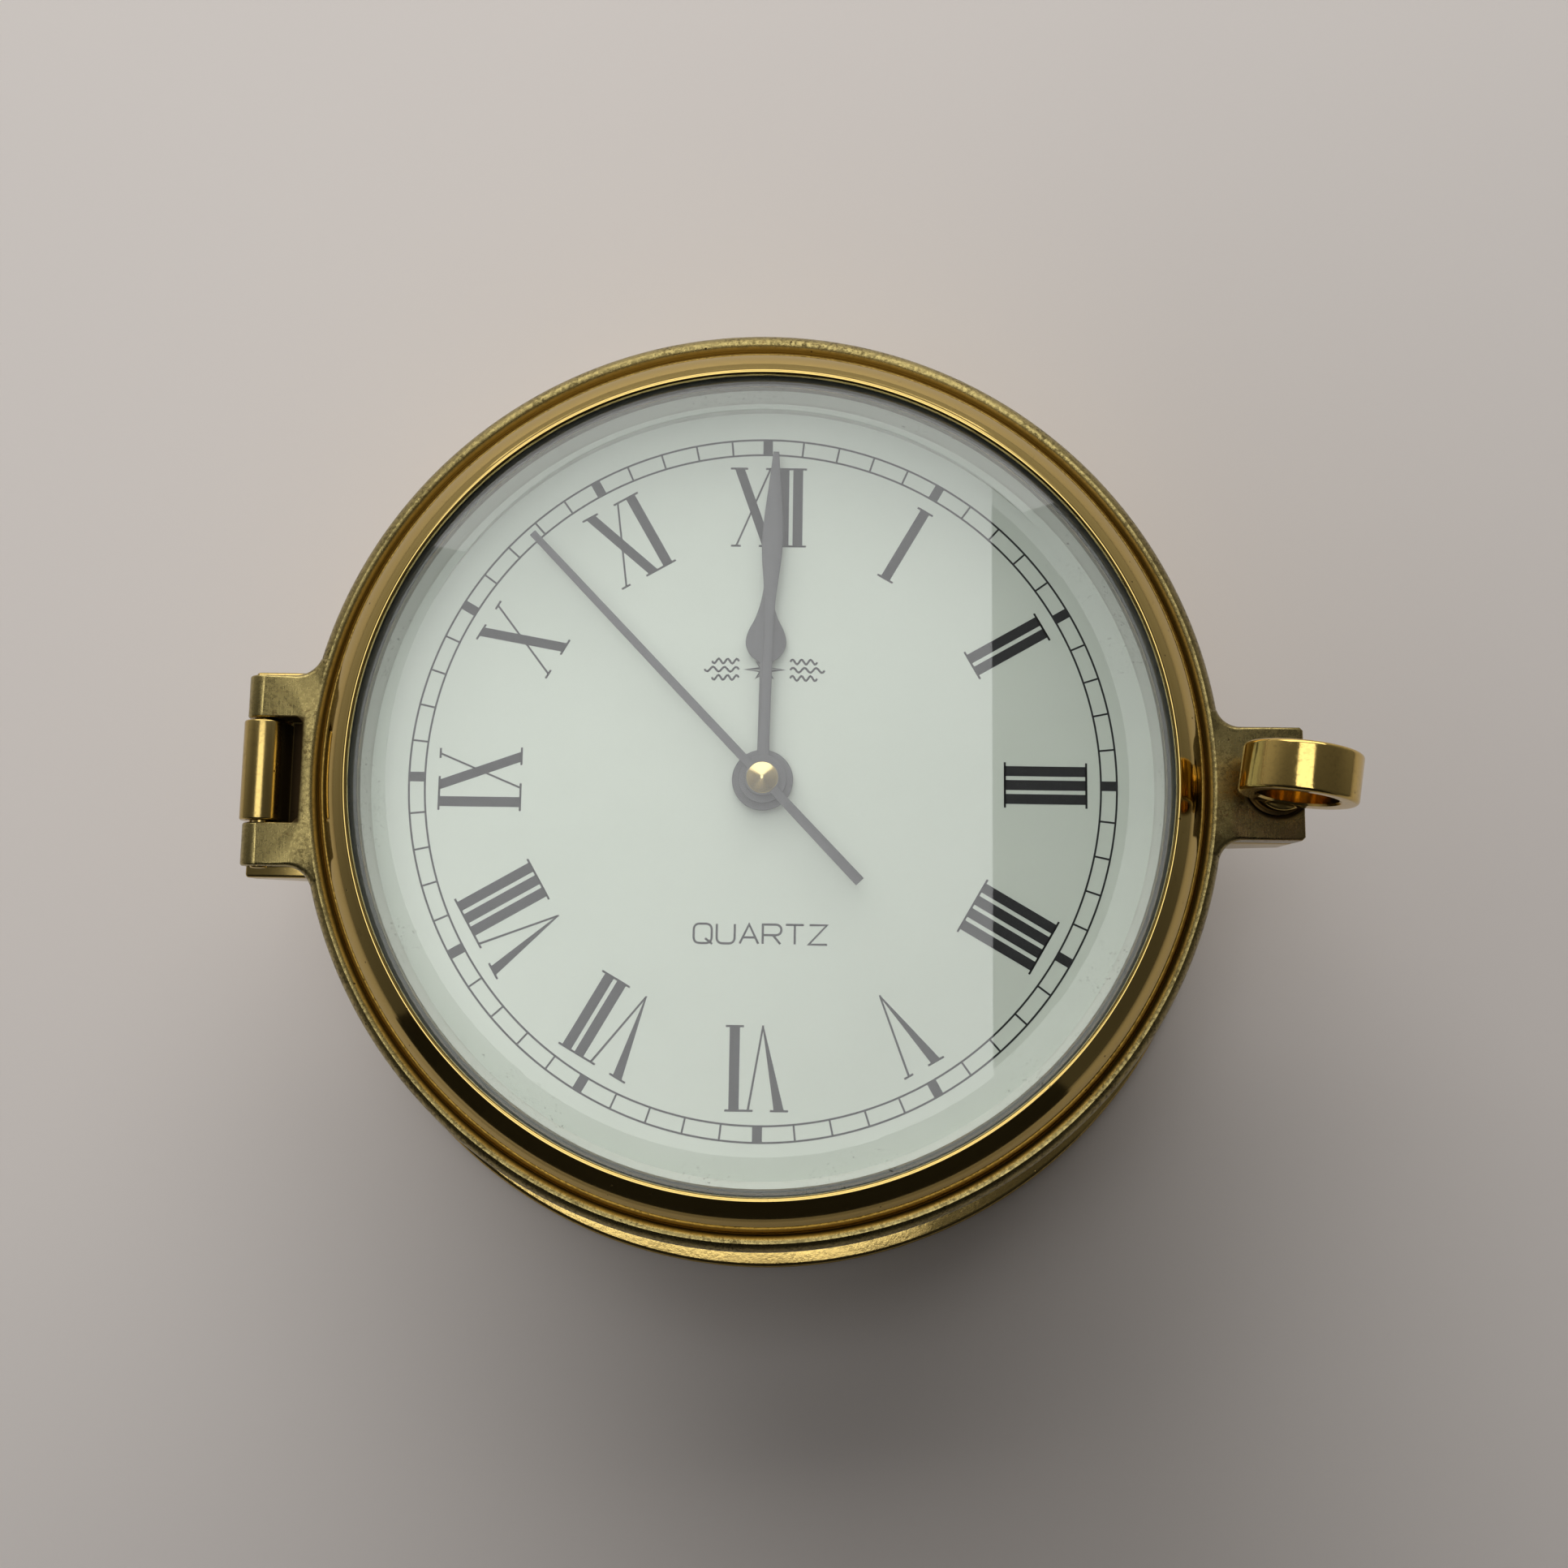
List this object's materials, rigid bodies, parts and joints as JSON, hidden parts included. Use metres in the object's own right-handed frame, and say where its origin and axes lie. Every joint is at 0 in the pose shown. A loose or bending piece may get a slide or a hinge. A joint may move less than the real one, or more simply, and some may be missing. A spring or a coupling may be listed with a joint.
{
  "type": "ships deck clock",
  "caption": "Bulkhead-mounted quartz clock in a flanged brass case, with a hinged glazed bezel held shut by a ring-headed thumbscrew.",
  "frame": {"origin": "centre of the flange on the back face, where the clock meets the bulkhead", "axes": "+Z out of the bulkhead through the glass, +Y towards the twelve o'clock numeral, +X towards the clasp, hinge at -X"},
  "size_m": [0.1684, 0.164, 0.0746],
  "materials": {
    "case_brass": "polished, lacquered",
    "bezel_brass": "polished dome, dull pitted bead and lugs",
    "bracket_brass": "as machined",
    "screw_brass": "polished",
    "screw_steel": "plated",
    "spring_steel": "plated",
    "plate_aluminium": "rolled",
    "dial_white": "matt, pale greenish white, black print",
    "rehaut_white": "matt",
    "hand_black": "satin black",
    "glass": "clear, bevelled",
    "rubber": "matt",
    "black_plastic": "moulded",
    "white_plastic": "moulded",
    "battery_skin": "printed sleeve, no words",
    "board_green": "solder mask",
    "coil_copper": "enamelled copper wire",
    "magnet": "bonded magnet"
  },
  "bodies": {
    "case": {"case_shell": "case_brass", "case_back_plate": "case_brass", "back_plate_screws": "screw_steel", "case_seal_ring": "rubber", "hinge_bracket": "bracket_brass", "hinge_pin": "bracket_brass", "clasp_bracket": "bracket_brass", "movement_carrier_plate": "plate_aluminium", "carrier_screws": "screw_steel", "dial_plate": "dial_white", "dial_feet": "bracket_brass", "rehaut_ring": "rehaut_white", "centre_bushing": "bracket_brass", "movement_fixing_nut": "bracket_brass", "movement_cushion": "rubber", "movement_housing": "black_plastic", "movement_cover": "black_plastic", "battery_door": "black_plastic", "battery": "battery_skin", "battery_contact_positive": "spring_steel", "battery_contact_negative": "spring_steel", "circuit_board": "board_green", "quartz_crystal": "spring_steel", "stator": "spring_steel", "drive_coil": "coil_copper", "train_plate": "white_plastic"},
    "bezel": {"bezel_ring": "bezel_brass", "glass": "glass", "glass_gasket": "rubber", "glass_retaining_ring": "bracket_brass"},
    "thumbscrew_washer": {"thumbscrew_washer": "bracket_brass"},
    "thumbscrew": {"ring_thumbscrew": "screw_brass"},
    "hour_hand": {"hour_hand": "hand_black", "hour_hand_collet": "bracket_brass", "hour_wheel": "white_plastic"},
    "minute_hand": {"minute_hand": "hand_black", "minute_hand_collet": "bracket_brass", "centre_wheel": "white_plastic"},
    "seconds_hand": {"seconds_hand": "hand_black", "seconds_hand_collet": "bracket_brass", "seconds_hand_cap": "screw_brass", "seconds_wheel": "white_plastic"},
    "motion_work": {"motion_work_wheel": "white_plastic"},
    "setting_knob": {"setting_knob": "black_plastic"},
    "third_wheel": {"third_wheel": "white_plastic"},
    "intermediate_wheel": {"intermediate_wheel": "white_plastic"},
    "rotor": {"rotor": "magnet"}
  },
  "joints": [
    {"name": "bezel_hinge", "type": "hinge", "parent": "case", "child": "bezel", "pos_m": [-0.076, 0, 0.05365], "axis": [0, -1, 0], "range_deg": [0, 165]},
    {"name": "thumbscrew_lift", "type": "slide", "parent": "bezel", "child": "thumbscrew_washer", "axis": [0, 0, 1], "range_m": [0, 0.00565]},
    {"name": "thumbscrew_turn", "type": "hinge", "parent": "thumbscrew_washer", "child": "thumbscrew", "pos_m": [0.0776, 0, 0.058], "axis": [0, 0, 1], "range_deg": [0, 2520]},
    {"name": "minute_hand_turn", "type": "hinge", "parent": "case", "child": "minute_hand", "pos_m": [0, 0, 0.05], "axis": [0, 0, -1], "continuous": true},
    {"name": "hour_hand_turn", "type": "hinge", "parent": "case", "child": "hour_hand", "pos_m": [0, 0, 0.05], "axis": [0, 0, -1], "continuous": true},
    {"name": "seconds_hand_turn", "type": "hinge", "parent": "case", "child": "seconds_hand", "pos_m": [0, 0, 0.05], "axis": [0, 0, -1], "continuous": true},
    {"name": "motion_work_turn", "type": "hinge", "parent": "case", "child": "motion_work", "pos_m": [0.00525, 0.00909, 0.039], "axis": [0, 0, -1], "continuous": true},
    {"name": "setting_knob_turn", "type": "hinge", "parent": "case", "child": "setting_knob", "pos_m": [-0.012, 0, 0.03], "axis": [0, 0, -1], "continuous": true},
    {"name": "third_wheel_turn", "type": "hinge", "parent": "case", "child": "third_wheel", "pos_m": [0.01043, 0.0028, 0.033], "axis": [0, 0, -1], "continuous": true},
    {"name": "intermediate_wheel_turn", "type": "hinge", "parent": "case", "child": "intermediate_wheel", "pos_m": [-0.00579, 0.00689, 0.032], "axis": [0, 0, -1], "continuous": true},
    {"name": "rotor_turn", "type": "hinge", "parent": "case", "child": "rotor", "pos_m": [-0.01029, 0.01226, 0.034], "axis": [0, 0, -1], "continuous": true}
  ],
  "couplings": [
    {"joint": "thumbscrew_lift", "follows": "thumbscrew_turn", "m_per_rad": 0.00012732},
    {"joint": "hour_hand_turn", "follows": "minute_hand_turn", "ratio": 0.083333},
    {"joint": "motion_work_turn", "follows": "minute_hand_turn", "ratio": -0.33333},
    {"joint": "setting_knob_turn", "follows": "minute_hand_turn", "ratio": -4},
    {"joint": "third_wheel_turn", "follows": "seconds_hand_turn", "ratio": -0.13333},
    {"joint": "intermediate_wheel_turn", "follows": "seconds_hand_turn", "ratio": -5},
    {"joint": "rotor_turn", "follows": "seconds_hand_turn", "ratio": 30}
  ]
}
